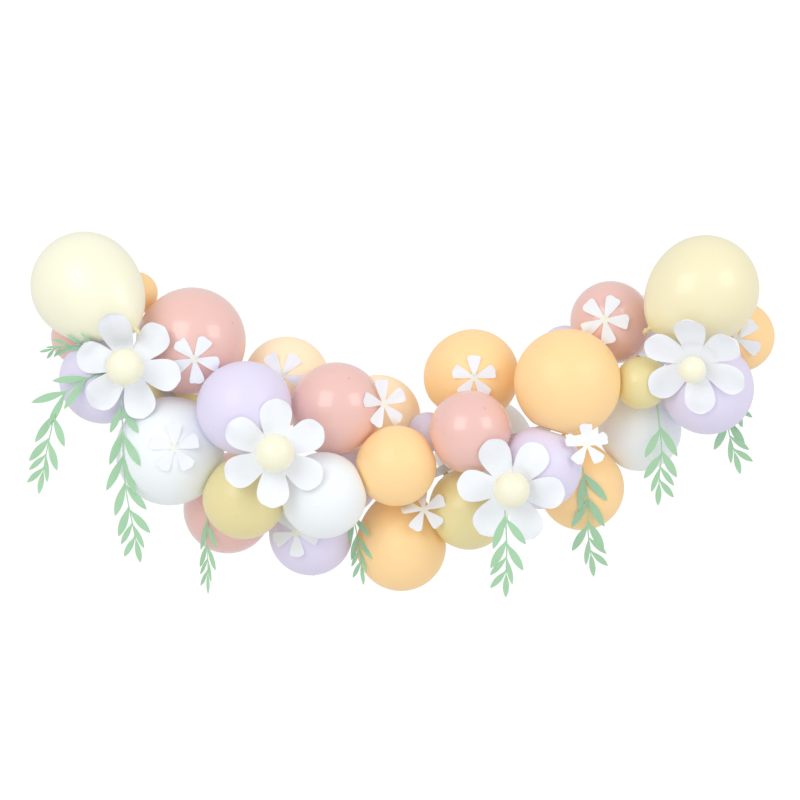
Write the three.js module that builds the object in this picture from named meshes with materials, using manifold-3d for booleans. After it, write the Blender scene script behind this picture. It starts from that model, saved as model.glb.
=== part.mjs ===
// A pastel party garland, about 1.9 m wide. Latex balloons are tied along a clear plastic strip that
// hangs by its two end tabs. Card daisies, small card blossoms and paper leaf sprigs rest on them.
// Millimetres, +Z up, the front of the garland faces -Y.
// The origin is on the back face of the left hanging tab, on its middle line just below the hole.

import * as THREE from "three";
import { mergeVertices } from "three/addons/utils/BufferGeometryUtils.js";
import Module from "manifold-3d";

const wasm = await Module();
wasm.setup();

// ---------------------------------------------------------------- driving dimensions

const GAP = 0.3; // clear gap left between pieces that touch
const PRESS = 0.05; // share of two balloons' radii by which they squeeze each other
const CARD = 0.6; // thickness of the flower card
const PAPER = 0.5; // thickness of the sprig paper
const STRIP_WIDTH = 22;
const STRIP_THICKNESS = 1;
const HANG_HOLE_RADIUS = 4.5;
const NECK_LENGTH = 26; // from the bulb's end to the rolled lip
const NECK_RADIUS = 5;
const KNOT_RADIUS = 8;
const TAIL_STRETCH = 0.12; // how much longer than a sphere the tail half of a round balloon is
const BULB_SEGMENTS = 10;
const BULB_BANDS = 6;
const LARGE_BULB = 112; // balloons below this radius are drawn with fewer facets
const NECK_SEGMENTS = 5;

const FINISH = {
  ivory: { color: 0xe6e3c8, roughness: 0.35 },
  khaki: { color: 0xd8cf9a, roughness: 0.35 },
  rose: { color: 0xd8a59c, roughness: 0.25 },
  peach: { color: 0xf0cfa0, roughness: 0.35 },
  orange: { color: 0xf0bd78, roughness: 0.35 },
  lavender: { color: 0xd0cae2, roughness: 0.35 },
  white: { color: 0xdfe5e8, roughness: 0.35 },
  card: { color: 0xf0f3fa, roughness: 0.9 },
  leaf: { color: 0xb0d6b4, roughness: 0.9 },
  strip: { color: 0xe8eef0, roughness: 0.2 },
};

// ---------------------------------------------------------------- the layout, from the garland's middle

// The strip's course: across and up. It sags in a shallow swag between its two end tabs.
const STRIP_COURSE = [
  [-850, 560], [-770, 385], [-640, 235], [-480, 100], [-300, 20], [-100, -30], [50, -25],
  [210, 55], [380, 110], [560, 190], [700, 300], [790, 430], [850, 560],
];

// Each balloon: colour, radius, across, depth, up, and for a pear-shaped one its tail's direction and stretch.
const BALLOONS = {
  ivory_end_left: ["ivory", 138, -807, -141, 475, [0.75, -0.16, -0.64], 0.45],
  orange_mini_left: ["orange", 55, -685, 5, 460],
  rose_behind_left: ["rose", 70, -839, 20, 346],
  rose_large_left: ["rose", 139, -537, -60, 334, [-0.43, 0.49, -0.76]],
  lavender_left: ["lavender", 114, -763, -90, 235],
  white_large_left: ["white", 139, -589, -90, 51],
  lavender_upper: ["lavender", 118, -402, -170, 160, [0.75, 0.6, 0.1], 0.2],
  peach_back_left: ["peach", 113, -297, 60, 235],
  rose_middle: ["rose", 119, -163, -90, 160],
  peach_back_middle: ["peach", 111, -57, 60, 135],
  orange_middle: ["orange", 103, -10, -150, 14],
  orange_lowest: ["orange", 117, 5, -20, -196, [-0.1, 0.3, 0.9], 0.35],
  white_lower: ["white", 110, -195, -170, -61],
  khaki_lower: ["khaki", 106, -400, -130, -67],
  rose_lower: ["rose", 116, -450, 40, -103, [0.1, 0.3, 0.9], 0.36],
  lavender_lower: ["lavender", 109, -231, 10, -164],
  orange_tall: ["orange", 120, 190, 20, 245, [-0.5, 0.4, -0.77], 0.4],
  peach_large: ["orange", 137, 430, -132, 226],
  rose_centre: ["rose", 105, 180, -150, 102, [-0.33, 0.76, -0.56]],
  lavender_mini: ["lavender", 50, 70, 30, 101],
  white_behind: ["white", 132, 222, 127, 58],
  lavender_right: ["lavender", 106, 361, -110, 10],
  khaki_right: ["khaki", 103, 176, -40, -103],
  orange_lower_right: ["orange", 111, 472, -10, -46],
  rose_right: ["rose", 105, 547, -10, 386],
  lavender_behind: ["lavender", 70, 434, 90, 308],
  ivory_end_right: ["ivory", 138, 781, -141, 466, [-0.78, -0.12, -0.6], 0.28],
  orange_right: ["orange", 92, 885, 20, 347],
  white_end_right: ["white", 81, 644, 150, 378],
  khaki_small: ["khaki", 68, 619, -110, 226],
  white_right: ["white", 108, 627, 0, 104],
  lavender_end_right: ["lavender", 119, 793, -60, 213],
  khaki_behind: ["khaki", 75, -593, 88, 200],
  lavender_gap: ["lavender", 92, -148, 86, -28],
};

// Each daisy: across, up, the radius of the balloon at its heart, the way it faces, and its turn.
const DAISIES = {
  left: [-689, 268, 48, [-0.1, -1, -0.05], 47],
  middle: [-316, 47, 49, [0.05, -1, 0.05], 28],
  lower: [281, -44, 46, [0, -1, 0], 55],
  right: [749, 276, 35, [-0.3, -1, -0.6], 40],
};

// Each blossom: across, up, the way it faces, its turn, the balloons it is stuck to,
// the balloons in front that its petals slip behind, and its size where that isn't 1.
const BLOSSOMS = {
  rose_left: [-523, 286, [0, -1, -0.2], 60, ["rose_large_left"], []],
  peach_back: [-305, 246, [0.15, -1, 0.1], 53, ["peach_back_left"], ["lavender_upper", "rose_middle"]],
  middle: [-41, 172, [0.6, -1, 0.1], 100, ["rose_middle", "peach_back_middle"], []],
  orange_tall: [190, 240, [0, -1, 0], 90, ["orange_tall"], ["rose_centre"], 0.9],
  rose_right: [525, 389, [-0.1, -1, 0.05], 65, ["rose_right"], []],
  orange_right: [872, 339, [0.05, -1, 0], 45, ["orange_right"], ["ivory_end_right", "lavender_end_right"]],
  white_left: [-570, 60, [0, -1, 0.05], 92, ["white_large_left"], []],
  lavender_lower: [-267, -158, [-0.2, -1, 0.05], 57, ["lavender_lower"], ["white_lower"]],
  khaki_right: [61, -99, [0.05, -1, 0.15], 100, ["orange_lowest", "khaki_right"], [], 0.92],
  lower_right: [474, 68, [0, -1, 0.25], 93, ["peach_large", "lavender_right"], [], 0.87],
};

// ---------------------------------------------------------------- small helpers

const vec = (x, y, z) => new THREE.Vector3(x, y, z);

const stripCurve = new THREE.CatmullRomCurve3(
  STRIP_COURSE.map(([x, z]) => vec(x, 0, z)),
);
const STRIP_STEPS = 36;
const stripPoints = stripCurve.getPoints(STRIP_STEPS * 4);

function nearestOnStrip(point) {
  let best = stripPoints[0];
  let least = Infinity;
  for (const p of stripPoints) {
    const far = Math.hypot(p.x - point.x, p.z - point.z);
    if (far < least) {
      least = far;
      best = p;
    }
  }
  return { point: best, far: least };
}

// A closed geometry as a manifold-3d solid.
function solidFrom(geometry) {
  const bare = geometry.index ? geometry.toNonIndexed() : geometry.clone();
  bare.deleteAttribute("normal");
  bare.deleteAttribute("uv");
  const merged = mergeVertices(bare, 1e-3);
  return new wasm.Manifold(
    new wasm.Mesh({
      numProp: 3,
      vertProperties: merged.attributes.position.array,
      triVerts: new Uint32Array(merged.index.array),
    }),
  );
}

function geometryFrom(solid) {
  const { vertProperties, triVerts, numProp, numVert } = solid.getMesh();
  const positions = new Float32Array(numVert * 3);
  for (let i = 0; i < numVert; i++) {
    positions.set(vertProperties.subarray(i * numProp, i * numProp + 3), i * 3);
  }
  return new THREE.BufferGeometry()
    .setAttribute("position", new THREE.BufferAttribute(positions, 3))
    .setIndex(new THREE.BufferAttribute(triVerts, 1));
}

// ---------------------------------------------------------------- settling the balloons

// The balloons push each other aside, mostly in depth, until no two squeeze by more than PRESS.
// Those in front of the strip stay in front of it, and those behind stay behind.
function settle(balloons) {
  const ROUNDS = 1500;
  const SIDEWAYS = 0.12; // how freely a balloon gives way across and up, against 1 in depth
  const RETURN = 0.03; // pull back to the place across and up
  const RETURN_IN_DEPTH = 0.01;
  for (let round = 0; round < ROUNDS; round++) {
    for (const b of balloons) {
      b.centre.x += (b.home.x - b.centre.x) * RETURN;
      b.centre.z += (b.home.z - b.centre.z) * RETURN;
      b.centre.y += (b.home.y - b.centre.y) * RETURN_IN_DEPTH;
    }
    for (let i = 0; i < balloons.length; i++) {
      for (let j = i + 1; j < balloons.length; j++) {
        const a = balloons[i];
        const b = balloons[j];
        const apart = b.centre.clone().sub(a.centre);
        const wanted = (a.radius + b.radius) * (1 - PRESS);
        const short = wanted - apart.length();
        if (short <= 0) continue;
        const push = apart.normalize().multiplyScalar(short * 0.3);
        push.x *= SIDEWAYS;
        push.z *= SIDEWAYS;
        b.centre.add(push);
        a.centre.sub(push);
      }
    }
    for (const b of balloons) {
      const { far } = nearestOnStrip(b.centre);
      const reach = b.radius - Math.max(0, far - STRIP_WIDTH / 2);
      if (far - STRIP_WIDTH / 2 >= b.radius || reach <= 0) continue;
      const half = Math.sqrt(b.radius ** 2 - Math.max(0, far - STRIP_WIDTH / 2) ** 2);
      const limit = half + STRIP_THICKNESS / 2 + GAP;
      if (b.front) b.centre.y = Math.min(b.centre.y, -limit);
      else b.centre.y = Math.max(b.centre.y, limit);
    }
  }
}

const balloons = Object.entries(BALLOONS).map(
  ([name, [colour, radius, x, y, z, tail, stretch]]) => ({
    name,
    colour,
    radius,
    home: vec(x, y, z),
    centre: vec(x, y, z),
    front: y < 0 || nearestOnStrip(vec(x, y, z)).far > radius + STRIP_WIDTH / 2,
    tail: tail && vec(...tail).normalize(),
    stretch: stretch ?? TAIL_STRETCH,
  }),
);
settle(balloons);

// ---------------------------------------------------------------- one balloon's shape

// Half the bulb's outline, from the crown at -radius to where the neck leaves it.
// The crown half is round, and the tail half is drawn out and pinched towards the neck.
function bulbOutline({ radius, stretch }) {
  const bands = radius < LARGE_BULB ? BULB_BANDS - 1 : BULB_BANDS;
  const points = [];
  for (let i = 0; i <= bands; i++) {
    const turn = (Math.PI * i) / bands;
    const tail = turn > Math.PI / 2;
    const along = -radius * Math.cos(turn) * (tail ? 1 + stretch : 1);
    const out = radius * Math.sin(turn) ** (tail ? 1 + stretch : 1);
    points.push(new THREE.Vector2(i % bands === 0 ? 0 : out, along));
  }
  return points;
}

// The neck starts inside the bulb, narrows, and ends in a knot and a rolled lip.
function neckOutline(end) {
  const v = (r, along) => new THREE.Vector2(r, end + along);
  return [
    v(0, -3 * KNOT_RADIUS),
    v(NECK_RADIUS * 1.6, -2 * KNOT_RADIUS),
    v(NECK_RADIUS * 0.8, NECK_LENGTH * 0.3),
    v(KNOT_RADIUS, NECK_LENGTH * 0.7),
    v(0, NECK_LENGTH),
  ];
}

function turnedTo(geometry, direction, centre) {
  const turn = new THREE.Quaternion().setFromUnitVectors(vec(0, 1, 0), direction);
  return geometry.applyQuaternion(turn).translate(centre.x, centre.y, centre.z);
}

// Directions spread evenly over a sphere.
function spreadDirections(count) {
  const golden = Math.PI * (3 - Math.sqrt(5));
  return Array.from({ length: count }, (_, i) => {
    const up = 1 - (2 * (i + 0.5)) / count;
    const flat = Math.sqrt(1 - up * up);
    return vec(Math.cos(golden * i) * flat, Math.sin(golden * i) * flat, up);
  });
}

// The flat a balloon gets where it meets another: the plane of the circle in which their spheres cross.
function contactPlane(a, b) {
  const between = b.centre.clone().sub(a.centre);
  const far = between.length();
  const along = (far ** 2 + a.radius ** 2 - b.radius ** 2) / (2 * far);
  return { normal: between.normalize(), along };
}

// How clear a balloon's neck is of every other balloon, of the strip and of the necks already placed.
// The end of the tail must also stay on its own side of the flats.
function neckClearance(balloon, direction, others, placed) {
  let clear = Infinity;
  const end = balloon.radius * (1 + balloon.stretch);
  const tailEnd = direction.clone().multiplyScalar(end);
  for (const other of others) {
    const { normal, along } = contactPlane(balloon, other);
    clear = Math.min(clear, along - tailEnd.dot(normal) - KNOT_RADIUS);
  }
  for (let step = -0.5; step <= 1.01; step += 0.25) {
    const p = balloon.centre.clone().addScaledVector(direction, end + NECK_LENGTH * step);
    for (const other of others) {
      clear = Math.min(clear, p.distanceTo(other.centre) - other.radius - KNOT_RADIUS);
    }
    for (const q of placed) {
      clear = Math.min(clear, p.distanceTo(q) - 2 * KNOT_RADIUS);
    }
    const strip = nearestOnStrip(p);
    const aside = Math.max(0, strip.far - STRIP_WIDTH / 2);
    const toStrip = Math.hypot(aside, Math.max(0, Math.abs(p.y) - STRIP_THICKNESS / 2));
    clear = Math.min(clear, toStrip - KNOT_RADIUS);
  }
  return clear;
}

// Each neck points at the strip where it can, and otherwise into the free space nearest to that,
// rather behind the garland than in front of it.
function aimTails(list) {
  const NECK_ROOM = 2;
  const BACKWARDS = 0.3;
  const directions = spreadDirections(600);
  const placed = [];
  for (const b of list) {
    const strip = nearestOnStrip(b.centre).point;
    const aim = b.tail ?? strip.clone().sub(b.centre).normalize();
    const others = list.filter(
      (o) => o !== b && o.centre.distanceTo(b.centre) < o.radius + b.radius * 1.5 + NECK_LENGTH,
    );
    let best = null;
    for (const d of [aim, ...directions]) {
      const clear = neckClearance(b, d, others, placed);
      const score = aim.dot(d) + (b.tail ? 0 : BACKWARDS * d.y) + Math.min(0, clear - NECK_ROOM) * 0.2;
      if (!best || score > best.score) best = { score, direction: d, clear };
    }
    b.direction = best.direction.clone();
    const end = b.radius * (1 + b.stretch);
    b.neck = [-0.5, 0, 0.5, 0.9].map((step) =>
      b.centre.clone().addScaledVector(b.direction, end + NECK_LENGTH * step),
    );
    placed.push(...b.neck);
  }
}
aimTails(balloons);

function bulbGeometry(b) {
  const segments = b.radius < LARGE_BULB ? BULB_SEGMENTS - 1 : BULB_SEGMENTS;
  return turnedTo(new THREE.LatheGeometry(bulbOutline(b), segments), b.direction, b.centre);
}

function cutByContact(solid, a, b) {
  const { normal, along } = contactPlane(a, b);
  const size = a.radius * 3;
  const middle = a.centre.clone().addScaledVector(normal, along - GAP / 2 + size / 2);
  return solid.subtract(solidFrom(turnedTo(new THREE.BoxGeometry(size, size, size), normal, middle)));
}

function balloonSolids(list) {
  const bulbs = new Map(list.map((b) => [b, solidFrom(bulbGeometry(b))]));
  const made = new Map();
  for (const a of list) {
    let solid = bulbs.get(a);
    for (const b of list) {
      if (a === b || a.centre.distanceTo(b.centre) > (a.radius + b.radius) * 1.35) continue;
      const meets = a.centre.distanceTo(b.centre) < a.radius + b.radius + GAP;
      if (!meets && bulbs.get(a).intersect(bulbs.get(b)).volume() <= 0) continue;
      solid = cutByContact(solid, a, b);
    }
    const neck = new THREE.LatheGeometry(neckOutline(a.radius * (1 + a.stretch)), NECK_SEGMENTS);
    made.set(a, solid.add(solidFrom(turnedTo(neck, a.direction, a.centre))));
  }
  return made;
}

// ---------------------------------------------------------------- card and paper pieces

// A sheet of card: its front points and faces, thickened backwards into one closed solid.
function cardGeometry({ points, faces }, thickness) {
  const front = new THREE.BufferGeometry().setFromPoints(points);
  front.setIndex(faces.flat());
  front.computeVertexNormals();
  const normals = front.attributes.normal;
  const back = points.map((p, i) =>
    p.clone().addScaledVector(vec(normals.getX(i), normals.getY(i), normals.getZ(i)), -thickness),
  );
  const edges = new Set(faces.flatMap(([a, b, c]) => [`${a} ${b}`, `${b} ${c}`, `${c} ${a}`]));
  const count = points.length;
  const walls = [];
  for (const edge of edges) {
    const [a, b] = edge.split(" ").map(Number);
    if (edges.has(`${b} ${a}`)) continue;
    walls.push([b, a, a + count], [b, a + count, b + count]);
  }
  const backFaces = faces.map(([a, b, c]) => [a + count, c + count, b + count]);
  const geometry = new THREE.BufferGeometry().setFromPoints([...points, ...back]);
  geometry.setIndex([...faces, ...backFaces, ...walls].flat());
  return geometry;
}

// A flower cut from one card: a hub and petals, each a strip of rows that widens and closes again.
// rows holds [distance from the middle, half width, how far its rounded end reaches past the row].
function flowerSheet({ petals, hub, rows, bend, cup }) {
  const points = [vec(0, 0, 0)];
  const faces = [];
  const step = (2 * Math.PI) / petals;
  const at = (angle, out, side, forward) =>
    vec(
      Math.cos(angle) * out - Math.sin(angle) * side,
      Math.sin(angle) * out + Math.cos(angle) * side,
      forward,
    );
  const add = (p) => points.push(p) - 1;
  const middles = [];
  const shared = [];
  for (let i = 0; i < petals; i++) {
    middles.push(add(at(i * step, hub, 0, 0)));
    shared.push(add(at((i + 0.5) * step, hub, 0, 0)));
  }
  const reach = rows.at(-1)[0];
  for (let i = 0; i < petals; i++) {
    const before = shared[(i + petals - 1) % petals];
    faces.push([0, before, middles[i]], [0, middles[i], shared[i]]);
    let inner = [before, middles[i], shared[i]];
    for (const [out, half, round] of rows) {
      const share = (out - hub) / (reach - hub);
      const forward = bend(i) * share ** 2;
      const curl = cup(i) * share;
      const outer = [
        add(at(i * step, out, -half, forward + curl)),
        add(at(i * step, out + round, 0, forward)),
        add(at(i * step, out, half, forward + curl)),
      ];
      for (const k of [0, 1]) {
        faces.push([inner[k], outer[k], outer[k + 1]], [inner[k], outer[k + 1], inner[k + 1]]);
      }
      inner = outer;
    }
  }
  return { points, faces };
}

// How far a balloon's skin is from its middle in a direction. A drawn-out tail reaches further.
function skinRadius(b, direction) {
  const tailward = b.direction.dot(direction);
  if (tailward <= 0) return b.radius;
  return b.radius * (1 + b.stretch * (1 - Math.sqrt(Math.max(0, 1 - tailward ** 2))));
}

// How far p must move forward (or back, if it is behind the ball's middle) to clear a ball.
function wayOutOfBall(centre, radius, p) {
  const aside = Math.hypot(p.x - centre.x, p.z - centre.z);
  if (aside >= radius) return 0;
  const stand = Math.sqrt(radius ** 2 - aside ** 2);
  if (Math.abs(p.y - centre.y) >= stand) return 0;
  return centre.y + (p.y < centre.y ? -stand : stand) - p.y;
}

// The same for a balloon, with its drawn-out tail and its neck.
function wayOut(b, p, clearance) {
  const outward = p.clone().sub(b.centre).normalize();
  const move = wayOutOfBall(b.centre, skinRadius(b, outward) + clearance, p);
  if (move !== 0) return move;
  for (const q of b.neck) {
    const aside = wayOutOfBall(q, KNOT_RADIUS + clearance, p);
    if (aside !== 0) return aside;
  }
  return 0;
}

// The face of a sheet that covers a point across and up, with the shares of its corners and its depth.
function coverAt(sheet, x, z) {
  let cover = null;
  for (const face of sheet.faces) {
    const corners = face.map((i) => sheet.points[i]);
    const [a, b, c] = corners;
    const whole = (b.x - a.x) * (c.z - a.z) - (c.x - a.x) * (b.z - a.z);
    if (Math.abs(whole) < 1e-6) continue;
    const v = ((x - a.x) * (c.z - a.z) - (c.x - a.x) * (z - a.z)) / whole;
    const w = ((b.x - a.x) * (z - a.z) - (x - a.x) * (b.z - a.z)) / whole;
    if (v < 0 || w < 0 || v + w > 1) continue;
    const y = a.y + (b.y - a.y) * v + (c.y - a.y) * w;
    if (!cover || y < cover.y) cover = { corners, weights: [1 - v - w, v, w], y };
  }
  return cover;
}

function shift(corners, weights, move) {
  corners.forEach((c, k) => (c.y += move * weights[k]));
}

// Where on each face a sheet is tested: a triangular grid, as shares of the three corners.
const PROBES = [];
const PROBE_STEPS = 4;
for (let i = 0; i <= PROBE_STEPS; i++) {
  for (let j = 0; j <= PROBE_STEPS - i; j++) {
    PROBES.push([i, j, PROBE_STEPS - i - j].map((n) => n / PROBE_STEPS));
  }
}

function spotOn(corners, weights) {
  const p = vec(0, 0, 0);
  corners.forEach((c, k) => p.addScaledVector(c, weights[k]));
  return p;
}

function probesOf(sheet, face) {
  const corners = face.map((i) => sheet.points[i]);
  return PROBES.map((weights) => spotOn(corners, weights));
}

// Bends a sheet in depth until it clears every balloon, and lies in front of the sheets underneath.
function liftClear(sheet, clearance, underneath = [], ignored = []) {
  const ROUNDS = 20;
  const clearOf = balloons.filter((b) => !ignored.includes(b.name));
  const area = new THREE.Box3().setFromPoints(sheet.points);
  const within = (p) => p.x > area.min.x && p.x < area.max.x && p.z > area.min.z && p.z < area.max.z;
  const below = underneath.filter((under) => under.points.some(within));
  const bumps = below.flatMap((under) => under.faces.flatMap((face) => probesOf(under, face)));
  for (let round = 0; round < ROUNDS; round++) {
    for (const face of sheet.faces) {
      const corners = face.map((i) => sheet.points[i]);
      for (const weights of PROBES) {
        const p = spotOn(corners, weights);
        let move = 0;
        for (const b of clearOf) {
          const way = wayOut(b, p, clearance);
          if (Math.abs(way) > Math.abs(move)) move = way;
        }
        for (const under of below) {
          const cover = coverAt(under, p.x, p.z);
          if (cover) move = Math.min(move, cover.y - clearance - p.y);
        }
        shift(corners, weights, move);
      }
    }
    for (const q of bumps) {
      const cover = coverAt(sheet, q.x, q.z);
      if (cover) shift(cover.corners, cover.weights, Math.min(0, q.y - clearance - cover.y));
    }
  }
  return sheet;
}

// Moves a sheet in depth until it would just rest on the fronts of the balloons, then presses it on by sink.
function restOn(sheet, sink, supports) {
  let shift = Infinity;
  for (const p of sheet.points) {
    for (const b of supports) {
      const aside = Math.hypot(p.x - b.centre.x, p.z - b.centre.z);
      if (aside >= b.radius) continue;
      shift = Math.min(shift, b.centre.y - Math.sqrt(b.radius ** 2 - aside ** 2) - p.y);
    }
  }
  sheet.points.forEach((p) => (p.y += shift + sink));
  return sheet;
}

// Turns a sheet, drawn facing +Z with its first petal along +X, to face a direction, and puts it in place.
function placeSheet(sheet, facing, turn, x, z, size = 1) {
  const ahead = vec(...facing).normalize();
  const across = vec(1, 0, 0).addScaledVector(ahead, -ahead.x).normalize();
  const up = ahead.clone().cross(across);
  const angle = THREE.MathUtils.degToRad(turn);
  const basis = new THREE.Matrix4().makeBasis(across, up, ahead);
  basis.multiply(new THREE.Matrix4().makeRotationZ(angle)).setPosition(x, 0, z);
  sheet.points.forEach((p) => p.multiplyScalar(size));
  sheet.points.forEach((p) => p.applyMatrix4(basis));
  return sheet;
}

// The card without whatever a balloon in front pinches off, so that the two never share space.
function trimmed(solid, names) {
  let rest = solid;
  for (const b of balloons.filter((b) => names.includes(b.name))) {
    const fat = { ...b, radius: b.radius + 1 };
    rest = rest.subtract(solidFrom(bulbGeometry(fat)));
  }
  return rest.decompose().sort((a, b) => b.volume() - a.volume())[0];
}

const group = new THREE.Group();
const pieces = new THREE.Group();
group.add(pieces);

function addPiece(name, geometry, finish) {
  const { color, roughness } = FINISH[finish];
  const material = new THREE.MeshStandardMaterial({ color, roughness, metalness: 0 });
  const mesh = new THREE.Mesh(geometry, material);
  mesh.name = name;
  pieces.add(mesh);
}

// ---------------------------------------------------------------- balloons

// The strip presses a shallow slot into the balloons that it runs against.
const slot = ribbonSolid(STRIP_WIDTH + 2 * GAP, STRIP_THICKNESS + 2 * GAP);
for (const [balloon, solid] of balloonSolids(balloons)) {
  addPiece("balloon_" + balloon.name, geometryFrom(solid.subtract(slot)), balloon.colour);
}

// ---------------------------------------------------------------- the strip

// A flat ribbon along the strip's course.
function ribbonSolid(width, thickness) {
  const points = [];
  const faces = [];
  for (let i = 0; i <= STRIP_STEPS; i++) {
    const p = stripCurve.getPoint(i / STRIP_STEPS);
    const along = stripCurve.getTangent(i / STRIP_STEPS);
    const aside = vec(-along.z, 0, along.x).normalize().multiplyScalar(width / 2);
    const front = vec(0, -thickness / 2, 0);
    points.push(p.clone().add(aside).add(front), p.clone().sub(aside).add(front));
    const n = 2 * i;
    if (i > 0) faces.push([n - 2, n - 1, n + 1], [n - 2, n + 1, n]);
  }
  return solidFrom(cardGeometry({ points, faces }, thickness));
}

// The holes lie on the strip's middle line, a strip's width in from each end.
function hangHoles() {
  const length = stripCurve.getLength();
  return [STRIP_WIDTH / length, 1 - STRIP_WIDTH / length].map((u) => stripCurve.getPointAt(u));
}

let strip = ribbonSolid(STRIP_WIDTH, STRIP_THICKNESS);
for (const hole of hangHoles()) {
  const drill = new THREE.CylinderGeometry(HANG_HOLE_RADIUS, HANG_HOLE_RADIUS, 20, 12);
  strip = strip.subtract(solidFrom(drill.translate(hole.x, 0, hole.z)));
}
addPiece("hanging_strip", geometryFrom(strip), "strip");

// ---------------------------------------------------------------- leaf sprigs

// One die-cut sprig, measured up its stem from the node of the last leaf:
// [distance up the stem, side, angle from the stem, length, width]
const SPRIG_LEAVES = [
  [0, 0, 0, 58, 14],
  [8, 1, 42, 58, 14],
  [36, -1, 14, 62, 12],
  [42, 1, 42, 60, 13],
  [76, -1, 32, 76, 18],
  [84, 1, 32, 78, 19],
  [140, -1, 36, 80, 18],
  [146, 1, 24, 86, 19],
  [206, -1, 16, 92, 18],
  [214, 1, 30, 96, 19],
  [270, -1, 30, 90, 18],
  [278, 1, 24, 90, 18],
  [332, -1, 36, 70, 16],
  [340, 1, 28, 70, 16],
];
const STEM_WIDTH = 4;
const LEAF_FOOT = 5; // the length of stem that a side leaf grows from

// The sprigs by the way they hang: [across, depth, up] down each stem.
// swap puts the side leaves on the other side, and turn shows how far the sprig is turned edge-on.
const SPRIGS = {
  left: [
    {
      stem: [
        [-685, -190, 251], [-713, -190, 262], [-784, -185, 315], [-848, -150, 320], [-893, -118, 312],
      ],
      swap: 1,
      turn: 50,
      size: 0.75,
    },
    {
      stem: [
        [-685, -190, 268], [-713, -190, 260], [-775, -203, 246], [-859, -200, 190], [-891, -190, 90],
        [-909, -185, -1],
      ],
      swap: -1,
      turn: 25,
    },
    {
      stem: [
        [-714, -190, 290], [-713, -190, 260], [-708, -184, 152], [-701, -180, -22], [-694, -178, -73],
        [-673, -175, -176],
      ],
      swap: -1,
      turn: 15,
    },
  ],
  rose_lower: [
    { stem: [[-499, -45, -79], [-498, -45, -188], [-497, -45, -268]], swap: -1, turn: 55, size: 0.9 },
  ],
  white_lower: [
    { stem: [[-129, -62, -83], [-107, -62, -187], [-100, -62, -244]], swap: -1, turn: 45, size: 0.9 },
  ],
  right: [
    {
      stem: [[468, -110, 12], [484, -80, -83], [485, -70, -157], [493, -62, -218]],
      swap: 1,
      turn: 10,
    },
  ],
  white_right: [
    {
      stem: [[661, -100, 169], [673, -90, 61], [669, -75, -8], [668, -70, -34]],
      swap: 1,
      turn: 10,
    },
  ],
  end_right: [
    { stem: [[855, 56, 250], [856, 40, 170], [858, 34, 101], [873, 32, 44]], swap: 1, turn: 10 },
    { stem: [[855, 56, 250], [869, 34, 205], [879, 22, 158]], swap: 1, turn: 10, size: 0.85 },
  ],
};

// The sprig that hangs from the lower daisy, in front of its petals.
const DAISY_SPRIG = [
  { stem: [[264, -300, -95], [268, -300, -178], [267, -290, -258]], swap: -1, turn: 15 },
];

// A sprig as one sheet: a narrow stem with a leaf growing from its edge at each place in the list.
function sprigSheet({ stem, swap, turn, size = 1 }) {
  const curve = new THREE.CatmullRomCurve3(stem.map((p) => vec(...p)));
  const length = curve.getLength();
  const turned = THREE.MathUtils.degToRad(turn);
  const points = [];
  const faces = [];
  const add = (p) => points.push(p) - 1;
  // Along is down the stem, aside is to its left, tilted in depth by the turn.
  const frameAt = (up) => {
    const u = Math.min(1, Math.max(0, 1 - up / length));
    const along = curve.getTangentAt(u);
    const flat = vec(-along.z, 0, along.x).normalize().multiplyScalar(swap * Math.cos(turned));
    return { at: curve.getPointAt(u), along, aside: flat.add(vec(0, Math.sin(turned), 0)) };
  };
  const footLength = LEAF_FOOT * size;
  const leaves = SPRIG_LEAVES.map(([up, ...rest]) => [up * size, ...rest]).filter(
    ([up]) => up < length - 2 * footLength,
  );
  const levels = new Set([length]);
  for (const [up] of leaves.slice(1)) levels.add(up).add(up + footLength);
  levels.add(0);
  const rows = [...levels].sort((a, b) => b - a);
  const stemRows = new Map();
  for (const up of rows) {
    const { at, aside } = frameAt(up);
    const half = (STEM_WIDTH / 2) * (0.7 + (0.5 * up) / length);
    stemRows.set(up, [
      add(at.clone().addScaledVector(aside, half)),
      add(at.clone().addScaledVector(aside, -half)),
    ]);
  }
  for (let i = 1; i < rows.length; i++) {
    const [a, b] = stemRows.get(rows[i - 1]);
    const [c, d] = stemRows.get(rows[i]);
    faces.push([a, c, d], [a, d, b]);
  }
  for (const [up, side, degrees, long, wide] of leaves) {
    const { at, along, aside } = frameAt(up);
    const angle = THREE.MathUtils.degToRad(degrees) * side;
    const way = along.clone().multiplyScalar(Math.cos(angle)).addScaledVector(aside, Math.sin(angle));
    const across = aside.clone().multiplyScalar(Math.cos(angle)).addScaledVector(along, -Math.sin(angle));
    const from = at.clone().addScaledVector(aside, (side * STEM_WIDTH) / 2);
    const spot = (share, half) =>
      from.clone().addScaledVector(way, long * size * share).addScaledVector(across, half * wide * size);
    // Seen with the stem pointing down, the leaf grows from the stem's end or from one of its edges.
    const [left, right] = stemRows.get(up);
    const upper = side && stemRows.get(up + footLength);
    const foot = side === 0 ? [left, right] : side > 0 ? [upper[0], left] : [right, upper[1]];
    const near = [add(spot(0.36, 0.48)), add(spot(0.36, -0.48))];
    const wideRow = [add(spot(0.7, 0.5)), add(spot(0.7, -0.5))];
    const tip = add(spot(1, 0));
    faces.push([foot[0], near[0], near[1]], [foot[0], near[1], foot[1]]);
    faces.push([near[0], wideRow[0], wideRow[1]], [near[0], wideRow[1], near[1]]);
    faces.push([wideRow[0], tip, wideRow[1]]);
  }
  // The sheet's front faces forward whichever way round the sprig hangs.
  if (swap > 0) faces.forEach((face) => face.reverse());
  return { points, faces };
}

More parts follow.
